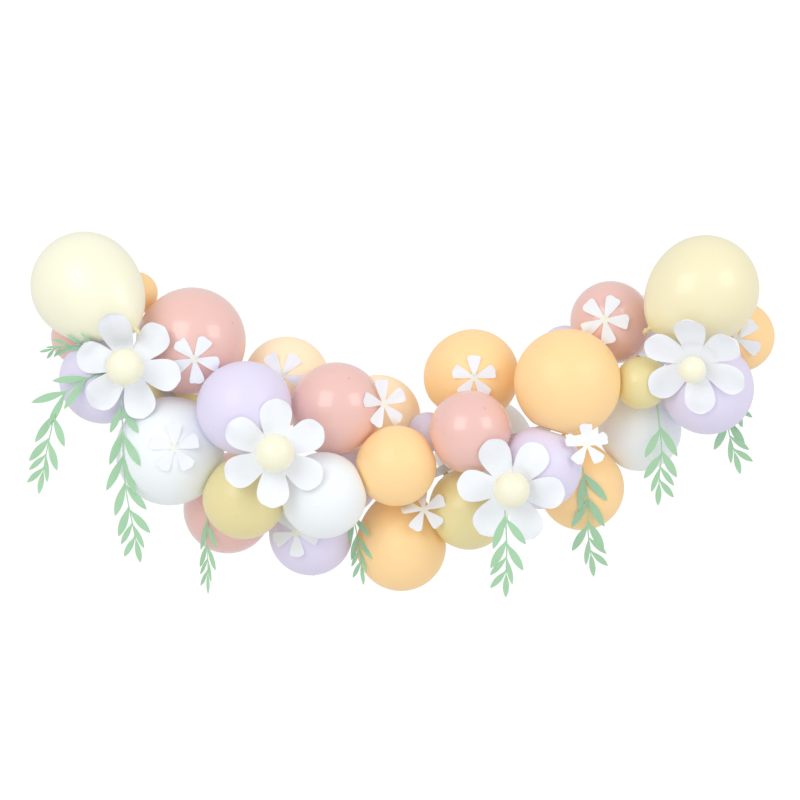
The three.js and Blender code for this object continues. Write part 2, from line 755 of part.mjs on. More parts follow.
function sprayGeometry(sprigs, underneath) {
  const sheets = sprigs.map((sprig) => liftClear(sprigSheet(sprig), 3, underneath));
  const solids = sheets.map((sheet) => solidFrom(cardGeometry(sheet, PAPER)));
  return { sheets, geometry: geometryFrom(solids.reduce((all, solid) => all.add(solid))) };
}

const laid = [];
for (const [name, sprigs] of Object.entries(SPRIGS)) {
  const { sheets, geometry } = sprayGeometry(sprigs, []);
  laid.push(...sheets);
  addPiece("leaf_sprig_" + name, geometry, "leaf");
}

// ---------------------------------------------------------------- blossoms

const BLOSSOM = {
  petals: 5,
  hub: 10,
  rows: [
    [34, 14, 0],
    [59, 19, 5],
  ],
};
const blossomBend = (i) => 3 + 3 * Math.sin(i * 1.9);
const blossomCup = () => 2;

for (const [name, [x, z, facing, turn, stuckTo, inFront, size]] of Object.entries(BLOSSOMS)) {
  const supports = balloons.filter((b) => stuckTo.includes(b.name));
  const sheet = placeSheet(
    flowerSheet({ ...BLOSSOM, bend: blossomBend, cup: blossomCup }), facing, turn, x, z, size,
  );
  liftClear(restOn(sheet, 6, supports), 1.5, laid, inFront);
  laid.push(sheet);
  const solid = trimmed(solidFrom(cardGeometry(sheet, CARD)), inFront);
  addPiece("blossom_" + name, geometryFrom(solid), "card");
}

// ---------------------------------------------------------------- daisies with a small balloon at the heart

const DAISY = {
  petals: 6,
  hub: 56,
  rows: [
    [80, 36, 0],
    [108, 38, 2],
    [128, 26, 10],
  ],
};

// The petals differ a little in how far they bend forward and in how far their edges curl.
const daisyBend = (i) => 14 + 9 * Math.sin(i * 2.4);
const daisyCup = (i) => 7 + 4 * Math.cos(i * 1.7);

// The heart is a small round balloon that sits on the daisy's hub.
for (const [name, [x, z, heart, facing, turn]] of Object.entries(DAISIES)) {
  const sheet = placeSheet(
    flowerSheet({ ...DAISY, bend: daisyBend, cup: daisyCup }), facing, turn, x, z,
  );
  liftClear(restOn(sheet, 22, balloons), 4.5, laid);
  sheet.points.forEach((p) => (p.y -= 1.5));
  laid.push(sheet);
  addPiece("daisy_" + name, cardGeometry(sheet, CARD), "card");
  const ahead = vec(...facing).normalize();
  const centre = sheet.points[0].clone().addScaledVector(ahead, heart + 1);
  for (const p of sheet.faces.flatMap((face) => probesOf(sheet, face))) {
    while (p.distanceTo(centre) < heart + 1) centre.addScaledVector(ahead, 0.5);
  }
  const ball = { radius: heart, stretch: 0, centre, direction: ahead.clone().negate() };
  addPiece("balloon_heart_" + name, bulbGeometry(ball), "ivory");
  if (name === "lower") {
    addPiece("leaf_sprig_daisy", sprayGeometry(DAISY_SPRIG, [sheet]).geometry, "leaf");
  }
}

// ---------------------------------------------------------------- place the origin

const tab = stripCurve.getPointAt((2 * STRIP_WIDTH) / stripCurve.getLength());
pieces.position.set(-tab.x, -STRIP_THICKNESS / 2, -tab.z);

export default group;
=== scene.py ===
"""The looks of a pastel balloon garland: latex balloons, card daisies and blossoms, paper leaf sprigs.

Everything is in metres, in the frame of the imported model. The front of the garland faces -Y.
"""

import math
import random

import bmesh
import bpy
import numpy as np
from mathutils import Matrix, Vector
from mathutils.bvhtree import BVHTree


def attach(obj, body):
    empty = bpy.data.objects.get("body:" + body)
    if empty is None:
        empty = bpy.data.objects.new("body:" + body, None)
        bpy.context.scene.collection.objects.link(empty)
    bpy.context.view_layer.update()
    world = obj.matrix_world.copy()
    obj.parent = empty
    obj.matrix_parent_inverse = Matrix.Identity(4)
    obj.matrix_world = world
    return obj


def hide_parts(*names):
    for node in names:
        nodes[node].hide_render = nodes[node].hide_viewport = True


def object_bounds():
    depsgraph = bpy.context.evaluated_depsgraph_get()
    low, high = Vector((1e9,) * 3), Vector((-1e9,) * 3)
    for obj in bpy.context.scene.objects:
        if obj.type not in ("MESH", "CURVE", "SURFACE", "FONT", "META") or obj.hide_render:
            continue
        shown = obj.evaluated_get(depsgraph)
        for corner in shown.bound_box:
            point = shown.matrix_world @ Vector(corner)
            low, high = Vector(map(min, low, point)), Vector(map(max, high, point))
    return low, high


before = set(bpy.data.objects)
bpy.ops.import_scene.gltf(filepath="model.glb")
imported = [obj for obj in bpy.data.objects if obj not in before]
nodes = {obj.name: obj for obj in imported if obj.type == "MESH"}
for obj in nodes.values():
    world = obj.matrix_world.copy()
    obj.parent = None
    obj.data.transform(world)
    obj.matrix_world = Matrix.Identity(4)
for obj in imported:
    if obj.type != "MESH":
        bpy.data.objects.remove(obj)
cad_low, cad_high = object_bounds()

# ---------------------------------------------------------------- the hanging strip

# The real strip is a clear PVC tape, cut with scissors, with a punched hole at each end to hang it by.
# The balloons' necks are tied to it. Its solid already has the right shape, so it only gets its plastic.


def shade_of(red, green, blue):
    """A colour as it is mixed in daylight, 0 to 255, as the light values that a shader takes."""
    parts = [value / 255 for value in (red, green, blue)]
    lit = [p / 12.92 if p <= 0.04045 else ((p + 0.055) / 1.055) ** 2.4 for p in parts]
    return (*lit, 1.0)


class Finish:
    """One value in a material. Sums and products of values add their Math nodes."""

    def __init__(self, socket):
        self.socket = socket

    def node(self, kind, settings=None, inputs=None, output=0):
        """Adds a node of any kind to this material and gives one of its outputs."""
        tree = self.socket.id_data
        made = tree.nodes.new(kind)
        for key, value in (settings or {}).items():
            setattr(made, key, value)
        for key, value in (inputs or {}).items():
            if isinstance(value, Finish):
                tree.links.new(value.socket, made.inputs[key])
            else:
                made.inputs[key].default_value = value
        return Finish(made.outputs[output]) if made.outputs else None

    def sum_of(self, operation, first, second):
        return self.node("ShaderNodeMath", {"operation": operation}, {0: first, 1: second})

    def __add__(self, other):
        return self.sum_of("ADD", self, other)

    def __radd__(self, other):
        return self.sum_of("ADD", other, self)

    def __sub__(self, other):
        return self.sum_of("SUBTRACT", self, other)

    def __rsub__(self, other):
        return self.sum_of("SUBTRACT", other, self)

    def __mul__(self, other):
        return self.sum_of("MULTIPLY", self, other)

    def __rmul__(self, other):
        return self.sum_of("MULTIPLY", other, self)


def new_material(name):
    """An empty material, and the place on the piece to start its pattern from."""
    material = bpy.data.materials.new(name)
    material.use_nodes = True
    material.node_tree.nodes.clear()
    place = material.node_tree.nodes.new("ShaderNodeTexCoord")
    return material, Finish(place.outputs["Object"])


def finish_material(place, inputs):
    surface = place.node("ShaderNodeBsdfPrincipled", {}, inputs)
    place.node("ShaderNodeOutputMaterial", {}, {"Surface": surface})


def grain(place, scale, detail=2.0, roughness=0.5):
    """Soft random grain between 0 and 1, with features about 1 / scale metres across."""
    inputs = {"Vector": place, "Scale": scale, "Detail": detail, "Roughness": roughness}
    return place.node("ShaderNodeTexNoise", {}, inputs)


def blend_colours(place, factor, first, second):
    settings = {"data_type": "RGBA", "clamp_factor": True}
    return place.node("ShaderNodeMix", settings, {0: factor, 6: first, 7: second}, output=2)


def relief(place, height, depth):
    """Turns a height from 0 to 1 into dents up to depth metres deep."""
    return place.node("ShaderNodeBump", {}, {"Height": height, "Strength": 1.0, "Distance": depth})


clear_plastic, place = new_material("clear_plastic")
scuffs = grain(place, 900, 4.0, 0.7)
haze, clear = shade_of(226, 233, 236), shade_of(238, 243, 245)
finish_material(
    place,
    {
        "Base Color": blend_colours(place, grain(place, 60), haze, clear),
        "Roughness": 0.12 + 0.2 * scuffs,
        "IOR": 1.53,
        "Transmission Weight": 0.55,
        "Normal": relief(place, grain(place, 140), 0.0001),
    },
)
strip = nodes["hanging_strip"]
strip.data.materials.clear()
strip.data.materials.append(clear_plastic)

# ---------------------------------------------------------------- the balloons

# Round latex balloons in seven pastel colours, blown to several sizes, knotted and tied to the strip.
# Each is a thin skin, drawn out towards its neck, and lies flat where a neighbour presses on it.

NECK_LENGTH = 0.026
NECK_RINGS = (0.011173, 0.018634)  # how far a solid neck's two rings of five corners are from its end
ROUND_STRETCH = 0.12  # how much longer than a ball's the tail half of a round balloon is
TAIL_STRETCH = {  # the same for the balloons that are drawn out further
    "ivory_end_left": 0.45, "ivory_end_right": 0.28, "lavender_upper": 0.2, "orange_lowest": 0.35,
    "rose_lower": 0.36, "orange_tall": 0.4,
}
PRESS_ROUNDING = 0.007  # how far from a flat's plane its soft edge starts
SKIN_GAP = 0.0004
WRING_REACH = 0.03  # the length of skin above the knot that is wrung
WRING_DEPTH = 0.055
RINGS_ROUND = 72
RINGS_DOWN = 44
CROWN_RINGS = (0.0, 0.5, 1.0, 1.5, 2.1, 2.9, 4.0, 5.6)  # degrees, close together at the nipple
NIPPLE_RADIUS = 0.0032
NIPPLE_HEIGHT = 0.0009
PAINTED_GLOW = 0.14  # painted glow: how strongly each balloon's skin gives off light of its own colour, in place of light passing through the latex

# The knotted neck's outline, from the bulb's end: [out from the axis, on along it].
# The lip flares and rolls in.
KNOT = [
    (0.0058, 0.0000), (0.0046, 0.0035), (0.0041, 0.0065), (0.0046, 0.0082), (0.0066, 0.0098),
    (0.0073, 0.0120), (0.0066, 0.0142), (0.0045, 0.0158), (0.0040, 0.0176), (0.0047, 0.0200),
    (0.0061, 0.0226), (0.0074, 0.0243), (0.0079, 0.0252), (0.0077, 0.0259), (0.0071, 0.0260),
    (0.0064, 0.0252), (0.0048, 0.0228), (0.0030, 0.0212), (0.0000, 0.0205),
]

# Each colour: slot, skin, deeper skin at the neck and crown, roughness,
# gloss on top and that gloss's roughness.
LATEX = {
    "ivory": ("ivory_latex", (230, 228, 204), (218, 208, 160), 0.45, 0.6, 0.2),
    "cream": ("ivory_latex", (227, 219, 182), (214, 200, 140), 0.45, 0.6, 0.2),
    "khaki": ("khaki_latex", (218, 206, 150), (188, 172, 100), 0.45, 0.5, 0.22),
    "rose": ("rose_latex", (222, 180, 172), (200, 140, 130), 0.42, 1.0, 0.14),
    "peach": ("peach_latex", (243, 222, 188), (240, 194, 124), 0.52, 0.2, 0.3),
    "orange": ("orange_latex", (242, 205, 148), (236, 174, 96), 0.52, 0.2, 0.3),
    "lavender": ("lavender_latex", (212, 206, 229), (184, 173, 216), 0.52, 0.2, 0.25),
    "white": ("white_latex", (226, 231, 234), (206, 212, 216), 0.55, 0.1, 0.3),
}


def latex_material(name, skin, deep, roughness, gloss, gloss_roughness):
    material, place = new_material(name + "_latex")
    crown_depth = 0.45 if name == "rose" else 0.14  # how much deeper the colour is at the crown
    from_crown = place.node("ShaderNodeAttribute", {"attribute_name": "from_crown"}, output=2)
    to_lip = place.node("ShaderNodeAttribute", {"attribute_name": "to_lip"}, output=2)
    soft = {"interpolation_type": "SMOOTHSTEP"}
    crown = place.node(
        "ShaderNodeMapRange", soft, {0: from_crown, 1: 0.0015, 2: 0.006, 3: 1.0, 4: 0.0}
    )
    neck = place.node("ShaderNodeMapRange", soft, {0: to_lip, 1: 0.02, 2: 0.09, 3: 1.0, 4: 0.0})
    cloudy = grain(place, 22, 3.0)
    deeper = crown_depth * crown + 0.8 * neck + 0.22 * (cloudy - 0.5)
    colour = blend_colours(place, deeper, shade_of(*skin), shade_of(*deep))
    powder = grain(place, 1400, 2.0)
    finish_material(
        place,
        {
            "Base Color": colour,
            "Roughness": roughness + 0.1 * (grain(place, 45) - 0.5) + 0.05 * (powder - 0.5),
            "IOR": 1.5,
            "Coat Weight": gloss * (0.9 + 0.2 * (cloudy - 0.5)),
            "Coat Roughness": gloss_roughness,
            "Coat IOR": 1.5,
            # Painted glow: the whole skin gives off a faint light of its own colour, in place of light
            # passing through the latex.
            "Emission Color": colour,
            "Emission Strength": PAINTED_GLOW,
            "Normal": relief(place, grain(place, 160, 2.0), 0.00006),
        },
    )
    return material


latex = {name: latex_material(name, *values[1:]) for name, values in LATEX.items()}


def corners_of(node):
    """The different corners of a solid's mesh, which the frame holds as loose triangles."""
    mesh = nodes[node].data
    flat = np.empty(len(mesh.vertices) * 3)
    mesh.vertices.foreach_get("co", flat)
    return np.unique(flat.reshape(-1, 3).round(6), axis=0)


def measure_balloon(node, stretch):
    """Reads a balloon's middle, radius and tail direction off its solid.

    The neck's end and the ring before it give the axis. The crown half is round, so the radius is the
    whole number of millimetres that puts the most corners, in the most rings, that far from the middle.
    """
    points = corners_of(node)
    apart = np.linalg.norm(points[:, None] - points[None], axis=2)
    in_neck = sum((np.abs(apart - far) < 5e-5).sum(axis=1) for far in NECK_RINGS)
    lip = points[np.argmax(in_neck)]
    nearest = np.argsort(np.linalg.norm(points - lip, axis=1))[1:6]
    tail = lip - points[nearest].mean(axis=0)
    tail /= np.linalg.norm(tail)
    along = ((points - lip) @ tail).round(4)
    best = (0, 0.0, lip)
    for radius in np.arange(0.045, 0.15, 0.001):
        middle = lip - tail * (radius * (1 + stretch) + NECK_LENGTH)
        on_skin = np.abs(np.linalg.norm(points - middle, axis=1) - radius) < 5e-5
        score = on_skin.sum() * len(set(along[on_skin]))
        best = max(best, (score, radius, middle), key=lambda found: found[0])
    return {"middle": Vector(best[2]), "radius": best[1], "tail": Vector(tail), "stretch": stretch}


def balloon_outline(radius, stretch):
    """Half the outline, from the crown down to the inside of the lip: [out from the axis, along it]."""
    outline = []
    turns = [math.radians(d) for d in CROWN_RINGS]
    last = math.asin((KNOT[0][0] * 1.25 / radius) ** (1 / (1 + stretch)))
    steps = RINGS_DOWN - len(turns)
    turns += [turns[-1] + (math.pi - last - turns[-1]) * (i + 1) / steps for i in range(steps)]
    for turn in turns:
        pull = 1 + stretch if turn > math.pi / 2 else 1
        out = radius * math.sin(turn) ** pull
        nipple = NIPPLE_HEIGHT * math.exp(-((out / NIPPLE_RADIUS) ** 2))
        outline.append((out, -radius * math.cos(turn) * pull - nipple))
    end = radius * (1 + stretch)
    return outline + [(out, end + along) for out, along in KNOT if end + along > outline[-1][1] + 0.001]


def pressed(spot, flats):
    """Moves a spot on a skin back behind the flats where neighbours press, with a soft edge."""
    for _ in range(2):
        for normal, reach in flats:
            over = spot.dot(normal) - reach
            if over > -PRESS_ROUNDING:
                blend = max(0.0, PRESS_ROUNDING - abs(over)) ** 2 / (4 * PRESS_ROUNDING)
                spot = spot - normal * (max(0.0, over) + blend)
    return spot


def flats_of(balloon, others):
    """The planes in which a balloon's neighbours press on it: [which way, how far from its middle]."""
    flats = []
    for other in others:
        between = other["middle"] - balloon["middle"]
        far = between.length
        if other is balloon or far > 1.35 * (balloon["radius"] + other["radius"]):
            continue
        reach = (far**2 + balloon["radius"] ** 2 - other["radius"] ** 2) / (2 * far)
        flats.append((between / far, reach - SKIN_GAP))
    return flats


def make_object(name, shape, material):
    """A finished piece from its bmesh, with its material, on the body."""
    mesh = bpy.data.meshes.new(name)
    shape.to_mesh(mesh)
    shape.free()
    mesh.materials.append(material)
    piece = bpy.data.objects.new(name, mesh)
    bpy.context.scene.collection.objects.link(piece)
    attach(piece, "root")
    return piece


def blow_balloon(name, balloon, colour, others, wrinkles):
    """One balloon: its outline spun round the axis, wrung at the knot and pressed by its neighbours."""
    radius, stretch = balloon["radius"], balloon["stretch"]
    outline = balloon_outline(radius, stretch)
    shape = bmesh.new()
    from_crown = shape.verts.layers.float.new("from_crown")
    to_lip = shape.verts.layers.float.new("to_lip")
    spots = [Vector((out, 0, along)) for out, along in outline]
    reached = [0.0]
    for before, after in zip(spots, spots[1:]):
        reached.append(reached[-1] + (after - before).length)
    rows = [shape.verts.new(spot) for spot in spots]
    for row, reach in zip(rows, reached):
        row[from_crown] = reach
        row[to_lip] = reached[-1] - reach
    edges = [shape.edges.new(pair) for pair in zip(rows, rows[1:])]
    bmesh.ops.spin(
        shape, geom=rows + edges, cent=(0, 0, 0), axis=(0, 0, 1), angle=2 * math.pi,
        steps=RINGS_ROUND, use_merge=True,
    )
    bmesh.ops.remove_doubles(shape, verts=shape.verts, dist=1e-6)
    bmesh.ops.recalc_face_normals(shape, faces=shape.faces)
    end = radius * (1 + stretch)
    for corner in shape.verts:
        past = corner.co.z - (end - WRING_REACH)
        if past > 0 and corner.co.xy.length > 1e-5:
            round_way = math.atan2(corner.co.y, corner.co.x)
            depth = WRING_DEPTH * min(1.0, past / WRING_REACH)
            wring = math.sin(wrinkles * round_way + 220 * past)
            wring += 0.4 * math.sin(5 * round_way - 90 * past)
            corner.co.xy *= 1 + depth * wring
    turn = Vector((0, 0, 1)).rotation_difference(balloon["tail"]).to_matrix()
    flats = flats_of(balloon, others)
    for corner in shape.verts:
        corner.co = pressed(turn @ corner.co, flats) + balloon["middle"]
    for face in shape.faces:
        face.smooth = True
    return make_object(name, shape, latex[colour])


# A balloon's colour is the first word of its name, apart from these two.
COLOUR_OF = {"ivory_end_right": "cream", "peach_large": "orange"}
balloons = {}
for node in sorted(nodes):
    if node.startswith("balloon_") and "heart" not in node:
        balloons[node] = measure_balloon(node, TAIL_STRETCH.get(node.removeprefix("balloon_"), ROUND_STRETCH))

random.seed(5)
for node, balloon in balloons.items():
    name = node.removeprefix("balloon_")
    colour = COLOUR_OF.get(name, name.split("_")[0])
    piece = blow_balloon(name, balloon, colour, balloons.values(), random.choice((9, 10, 11)))
    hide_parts(node)

# ---------------------------------------------------------------- the leaf sprigs

# Sprigs of narrow pointed leaves, die-cut from mint-green paper, one flat piece each, slightly curled.
# They are pinned behind the flowers and between the balloons, and hang down by their stems.

GARLAND_MIDDLE = Vector((0.83271, -0.0005, -0.51954))  # the layout's places are measured from here
STEM_WIDTH = 0.004
LEAF_FOOT = 0.005
LEAF_STEPS = 12
LEAF_FOLD = 0.0012
PAPER = 0.0005

# Up the stem from the last leaf's node: [distance, side, degrees from the stem, length, width], in mm.
SPRIG_LEAVES = [
    (0, 0, 0, 58, 14), (8, 1, 42, 58, 14), (36, -1, 14, 62, 12), (42, 1, 42, 60, 13),
    (76, -1, 32, 76, 18), (84, 1, 32, 78, 19), (140, -1, 36, 80, 18), (146, 1, 24, 86, 19),
    (206, -1, 16, 92, 18), (214, 1, 30, 96, 19), (270, -1, 30, 90, 18), (278, 1, 24, 90, 18),
    (332, -1, 36, 70, 16), (340, 1, 28, 70, 16),
]

# Each node's sprigs: the stem's course down from the top, the side that the first leaves take,
# the turn and the size.
SPRIGS = {
    "leaf_sprig_left": [
        (
            ((-685, -190, 251), (-713, -190, 262), (-784, -185, 315), (-848, -150, 320),
             (-893, -118, 312)),
            1, 50, 0.75,
        ),
        (
            ((-685, -190, 268), (-713, -190, 260), (-775, -203, 246), (-859, -200, 190), (-891, -190, 90),
             (-909, -185, -1)),
            -1, 25, 1,
        ),
        (
            ((-714, -190, 290), (-713, -190, 260), (-708, -184, 152), (-701, -180, -22), (-694, -178, -73),
             (-673, -175, -176)),
            -1, 15, 1,
        ),
    ],
    "leaf_sprig_rose_lower": [
        (((-499, -45, -79), (-498, -45, -188), (-497, -45, -268)), -1, 55, 0.9),
    ],
    "leaf_sprig_white_lower": [
        (((-129, -62, -83), (-107, -62, -187), (-100, -62, -244)), -1, 45, 0.9),
    ],
    "leaf_sprig_right": [
        (((468, -110, 12), (484, -80, -83), (485, -70, -157), (493, -62, -218)), 1, 10, 1),
    ],
    "leaf_sprig_white_right": [
        (((661, -100, 169), (673, -90, 61), (669, -75, -8), (668, -70, -34)), 1, 10, 1),
    ],
    "leaf_sprig_end_right": [
        (((855, 56, 250), (856, 40, 170), (858, 34, 101), (873, 32, 44)), 1, 10, 1),
        (((855, 56, 250), (869, 34, 205), (879, 22, 158)), 1, 10, 0.85),
    ],
    "leaf_sprig_daisy": [(((264, -300, -95), (268, -300, -178), (267, -290, -258)), -1, 15, 1)],
}

leaf_paper, place = new_material("leaf_paper")
fibres = grain(place, 700, 5.0, 0.75)
cloud = grain(place, 28, 2.0)
mottle = 0.25 + 0.5 * cloud + 0.35 * (fibres - 0.5)
finish_material(
    place,
    {
        "Base Color": blend_colours(place, mottle, shade_of(176, 213, 181), shade_of(150, 197, 154)),
        "Roughness": 0.78 + 0.2 * (fibres - 0.5),
        "Normal": relief(place, fibres, 0.00008),
    },
)


def course_of(stops):
    """A smooth course through the stops, as even steps: places at equal distances, and the whole length."""
    stops = [Vector(stop) * 0.001 + GARLAND_MIDDLE for stop in stops]
    stops = [2 * stops[0] - stops[1], *stops, 2 * stops[-1] - stops[-2]]
    fine = []
    for before, start, end, after in zip(stops, stops[1:], stops[2:], stops[3:]):
        spans = [(b - a).length ** 0.5 for a, b in ((before, start), (start, end), (end, after))]
        middle = (end - start) / spans[1]
        slope_in = (start - before) / spans[0] - (end - before) / (spans[0] + spans[1]) + middle
        slope_out = middle - (after - start) / (spans[1] + spans[2]) + (after - end) / spans[2]
        slope_in, slope_out = slope_in * spans[1], slope_out * spans[1]
        for step in range(50):
            t = step / 50
            bend = -3 * start + 3 * end - 2 * slope_in - slope_out
            curl = 2 * start - 2 * end + slope_in + slope_out
            fine.append(start + slope_in * t + bend * t**2 + curl * t**3)
    fine.append(stops[-2])
    reached = [0.0]
    for a, b in zip(fine, fine[1:]):
        reached.append(reached[-1] + (b - a).length)
    return fine, reached


def stretch_net(sheet, steps_along, steps_across, spot_at):
    """Adds a net of squares to a sheet, and moves each of its corners to spot_at(step along, step across)."""
    made = bmesh.ops.create_grid(sheet, x_segments=steps_along, y_segments=steps_across, size=1.0)
    for corner in made["verts"]:
        along = round((corner.co.x + 1) / 2 * steps_along)
        across = round((corner.co.y + 1) / 2 * steps_across)
        corner.co = spot_at(along, across)


def draw_sprig(sheet, stops, swap, turn, size):
    """Adds one sprig to a sheet: a narrow stem of three lines of corners, and a folded leaf at each foot."""
    fine, reached = course_of(stops)
    length = reached[-1]
    tilt = math.radians(turn)

    def frame_at(up):
        far = length - min(length, max(0.0, up))
        index = min(len(fine) - 2, max(0, int(np.searchsorted(reached, far)) - 1))
        share = (far - reached[index]) / (reached[index + 1] - reached[index])
        along = (fine[index + 1] - fine[index]).normalized()
        flat = Vector((-along.z, 0, along.x)).normalized() * swap * math.cos(tilt)
        return fine[index].lerp(fine[index + 1], share), along, flat + Vector((0, math.sin(tilt), 0))

    def stem_spot(up, side):
        at, _, aside = frame_at(up)
        return at + aside * side * STEM_WIDTH / 2 * (0.7 + 0.5 * up / length)

    foot = LEAF_FOOT * size
    leaves = [(up * size * 0.001, *rest) for up, *rest in SPRIG_LEAVES]
    leaves = [leaf for leaf in leaves if leaf[0] < length - 2 * foot]
    levels = {0.0, length}
    for up, *_ in leaves[1:]:
        levels |= {up, up + foot / 2, up + foot}
    for low, high in zip(sorted(levels), sorted(levels)[1:]):
        extra = int((high - low) / 0.012)
        levels |= {low + (high - low) * (i + 1) / (extra + 1) for i in range(extra)}
    levels = sorted(levels, reverse=True)
    stretch_net(sheet, len(levels) - 1, 2, lambda i, j: stem_spot(levels[i], 1 - j))

    for up, side, degrees, long, wide in leaves:
        at, along, aside = frame_at(up)
        angle = math.radians(degrees) * side
        way = along * math.cos(angle) + aside * math.sin(angle)
        across = aside * math.cos(angle) - along * math.sin(angle)
        start = at + aside * side * STEM_WIDTH / 2
        long, wide = long * size * 0.001, wide * size * 0.001
        if side == 0:
            feet = [stem_spot(up, 1), stem_spot(up, 0), stem_spot(up, -1)]
        elif side > 0:
            feet = [stem_spot(up + foot, 1), stem_spot(up + foot / 2, 1), stem_spot(up, 1)]
        else:
            feet = [stem_spot(up, -1), stem_spot(up + foot / 2, -1), stem_spot(up + foot, -1)]

        def leaf_spot(step, line):
            if step == 0:
                return feet[line]
            share = step / LEAF_STEPS
            half = 0.56 * wide * math.sin(math.pi * share**1.12) ** 0.75 + 0.0011 * (1 - share) ** 2
            fold = LEAF_FOLD * math.sin(math.pi * share) * (line != 1)
            return start + way * long * share + across * half * (1 - line) + Vector((0, -fold, 0))

        stretch_net(sheet, LEAF_STEPS, 2, leaf_spot)


def lay_on(sheet, node, rounds):
    """Moves a drawn sheet's corners in depth onto the front of a solid, and smooths what that gives.

    A corner past the solid's edge goes on from its neighbours.
    """
    solid = bmesh.new()
    solid.from_mesh(nodes[node].data)
    tree = BVHTree.FromBMesh(solid)
    solid.free()
    ahead = Vector((0, 1, 0))
    known = set()
    for corner in sheet.verts:
        hit = tree.ray_cast(Vector((corner.co.x, -2, corner.co.z)), ahead)[0]
        if hit:
            corner.co.y = hit.y
            known.add(corner)
    waiting = [corner for corner in sheet.verts if corner not in known]
    while waiting:
        found = []
        for corner in waiting:
            near = [edge.other_vert(corner) for edge in corner.link_edges]
            near = [other for other in near if other in known]
            if near:
                corner.co.y = sum(other.co.y for other in near) / len(near)
                found.append(corner)
        if not found:
            break
        known.update(found)
        waiting = [corner for corner in waiting if corner not in known]
    for _ in range(rounds):
        bmesh.ops.smooth_vert(sheet, verts=sheet.verts, factor=0.5, use_axis_y=True)


def thicken(sheet, thickness):
    """Gives a sheet that faces -Y its thickness behind, with a crisp cut edge."""
    bmesh.ops.dissolve_degenerate(sheet, dist=2e-5, edges=sheet.edges)
    bmesh.ops.recalc_face_normals(sheet, faces=sheet.faces)
    facing = sum((face.normal * face.calc_area() for face in sheet.faces), Vector())
    if facing.y > 0:
        bmesh.ops.reverse_faces(sheet, faces=sheet.faces)
    sheet.normal_update()
    behind = {corner: corner.co - corner.normal * thickness for corner in sheet.verts}
    front = {tuple(corner.co): spot for corner, spot in behind.items()}
    pulled = bmesh.ops.extrude_face_region(sheet, geom=sheet.faces[:], use_keep_orig=True)
    for part in pulled["geom"]:
        if isinstance(part, bmesh.types.BMVert):
            part.co = front[tuple(part.co)]
    bmesh.ops.recalc_face_normals(sheet, faces=sheet.faces)
    for face in sheet.faces:
        face.smooth = True
    for edge in sheet.edges:
        edge.smooth = edge.is_manifold and edge.calc_face_angle(0.0) < math.radians(50)


for node, sprigs in SPRIGS.items():
    sheet = bmesh.new()
    for stops, swap, turn, size in sprigs:
        before = set(sheet.verts)
        draw_sprig(sheet, stops, swap, turn, size)
        added = [corner for corner in sheet.verts if corner not in before]
        bmesh.ops.remove_doubles(sheet, verts=added, dist=1e-5)
    lay_on(sheet, node, 6)
    thicken(sheet, PAPER)
    piece = make_object(node + "_paper", sheet, leaf_paper)
    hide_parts(node)

# ---------------------------------------------------------------- the blossoms

# Five-petalled blossoms, die-cut from smooth white card, with a touch of yellow at the middle.
# Each is stuck flat on a balloon with a dot of glue, and some tuck in behind the next balloon.

CARD = 0.0006
BLOSSOM_ROWS = [
    (0.0, 0.0, 0.0), (8.1, 5.9, 1.9), (13, 6.3, 1.4), (22, 9.6, 0.8), (33, 13.6, 0.6), (44, 17.0, 0.9),
    (52, 18.9, 1.8), (56.5, 18.8, 3.6), (59.2, 17.2, 3.6), (61.0, 13.8, 2.4), (62.4, 8.0, 1.0),
    (63.2, 0.0, 0.0),
]
BLOSSOM_REACH = 0.064

# Each blossom: across and up from the garland's middle, the way it faces, its turn and its size.
BLOSSOMS = {
    "rose_left": (-523, 286, (0, -1, -0.2), 60, 1),
    "peach_back": (-305, 246, (0.15, -1, 0.1), 53, 1),
    "middle": (-41, 172, (0.6, -1, 0.1), 100, 1),
    "orange_tall": (190, 240, (0, -1, 0), 90, 0.9),
    "rose_right": (525, 389, (-0.1, -1, 0.05), 65, 1),
    "orange_right": (872, 339, (0.05, -1, 0), 45, 1),
    "white_left": (-570, 60, (0, -1, 0.05), 92, 1),
    "lavender_lower": (-267, -158, (-0.2, -1, 0.05), 57, 1),
    "khaki_right": (61, -99, (0.05, -1, 0.15), 100, 0.92),
    "lower_right": (474, 68, (0, -1, 0.25), 93, 0.87),
}


def card_material(name, paper, shaded, tint=None, tint_reach=0.0):
    material, place = new_material(name)
    fibres = grain(place, 900, 5.0, 0.7)
    cloud = grain(place, 35, 2.0)
    colour = blend_colours(place, 0.5 * cloud + 0.3 * (fibres - 0.5), shade_of(*paper), shade_of(*shaded))
    if tint:
        out = place.node("ShaderNodeAttribute", {"attribute_name": "from_middle"}, output=2)
        inputs = {0: out, 1: 0.0, 2: tint_reach, 3: 0.85, 4: 0.0}
        near = place.node("ShaderNodeMapRange", {"interpolation_type": "SMOOTHSTEP"}, inputs)
        colour = blend_colours(place, near * (0.8 + 0.4 * (fibres - 0.5)), colour, shade_of(*tint))
    finish_material(
        place,
        {
            "Base Color": colour,
            "Roughness": 0.72 + 0.2 * (fibres - 0.5),
            "Normal": relief(place, fibres, 0.00005),
        },
    )
    return material


blossom_card = card_material("blossom_card", (238, 241, 247), (230, 234, 243), (236, 238, 212), 0.022)


def smooth_row(rows, share):
    """The row of a petal's outline at a share of the way along the list, with a smooth curve between."""
    place = share * (len(rows) - 1)
    index = min(len(rows) - 2, int(place))
    t = place - index
    before, start, end, after = (rows[min(len(rows) - 1, max(0, index + k))] for k in (-1, 0, 1, 2))
    if index == 0:
        return [a + (b - a) * t for a, b in zip(start, end)]
    if index == 1:
        before = start
    return [
        b + 0.5 * t * (c - a + t * (2 * a - 5 * b + 4 * c - d + t * (3 * (b - c) + d - a)))
        for a, b, c, d in zip(before, start, end, after)
    ]


